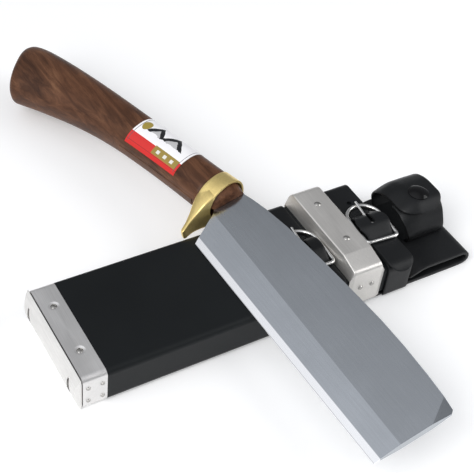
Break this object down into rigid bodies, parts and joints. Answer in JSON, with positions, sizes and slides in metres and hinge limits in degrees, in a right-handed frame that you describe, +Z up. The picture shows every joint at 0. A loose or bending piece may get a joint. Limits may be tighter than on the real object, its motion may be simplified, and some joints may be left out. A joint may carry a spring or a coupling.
{
  "type": "hatchet knife with belt sheath",
  "caption": "Square-ended hatchet knife with wooden handle and brass guard, lying across its flat black belt sheath with a raised stop, buckled straps and a belt loop.",
  "frame": {"origin": "middle of the sheath's closed end, on the surface the sheath lies on", "axes": "+X from the sheath's closed end to its mouth, +Y across the sheath towards its back side, +Z up from the surface it lies on"},
  "size_m": [0.2588, 0.3737, 0.0437],
  "materials": {
    "black_cover": "satin, fine grain vinyl over the boards",
    "pale_wood": "raw sawn wood",
    "steel_sheet": "brushed, lightly scuffed",
    "steel_nails": "domed, polished by handling",
    "black_leather": "smooth, satin",
    "buckle_wire": "nickel plated",
    "black_enamel": "glossy enamel",
    "snap_metal": "plated",
    "blade_steel": "ground and polished",
    "walnut": "oiled, open grain",
    "pin_metal": "flush ground",
    "brass": "polished",
    "label_paper": null
  },
  "bodies": {
    "sheath": {"sheath_cover": "black_cover", "upper_board": "pale_wood", "lower_board": "pale_wood", "edge_rail": "pale_wood", "back_rail": "pale_wood", "end_plug": "pale_wood", "end_band": "steel_sheet", "end_cap": "steel_sheet", "band_nails": "steel_nails", "edge_tacks": "steel_nails", "back_tacks": "steel_nails", "stop_block": "pale_wood", "stop_cover": "steel_sheet", "stop_flank_left": "steel_sheet", "stop_flank_right": "steel_sheet", "stop_rivets": "steel_nails", "stop_nails_edge": "steel_nails", "stop_nails_back": "steel_nails", "belt_loop": "black_leather", "near_strap_left": "black_leather", "near_strap_right": "black_leather", "tongue_strap_left": "black_leather", "tongue_strap_right": "black_leather", "buckle_left": "buckle_wire", "buckle_right": "buckle_wire", "handle_strap_under": "black_leather", "handle_strap_back": "black_leather", "snap_stud": "snap_metal"},
    "knife": {"blade": "blade_steel", "handle": "walnut", "slot_filler": "walnut", "tang_pin": "pin_metal", "collar_guard": "brass", "label": "label_paper"},
    "buckle_prong_left": {"prong_left": "buckle_wire"},
    "buckle_prong_right": {"prong_right": "buckle_wire"},
    "snap_flap": {"flap": "black_leather", "snap_cap": "black_enamel", "snap_socket": "snap_metal"}
  },
  "joints": [
    {"name": "knife_lift", "type": "slide", "parent": "sheath", "child": "knife", "axis": [0, 0, 1], "range_m": [0, 0.12]},
    {"name": "prong_left_turn", "type": "hinge", "parent": "sheath", "child": "buckle_prong_left", "pos_m": [0.1522, -0.0075, 0.0268], "axis": [0.9986, -0.0523, 0], "range_deg": [0, 60]},
    {"name": "prong_right_turn", "type": "hinge", "parent": "sheath", "child": "buckle_prong_right", "pos_m": [0.1991, -0.0045, 0.0268], "axis": [0.9976, -0.0698, 0], "range_deg": [0, 85]},
    {"name": "flap_hinge", "type": "hinge", "parent": "sheath", "child": "snap_flap", "pos_m": [0.23525, 0.013, 0.0341], "axis": [-1, 0, 0], "range_deg": [0, 100]}
  ]
}
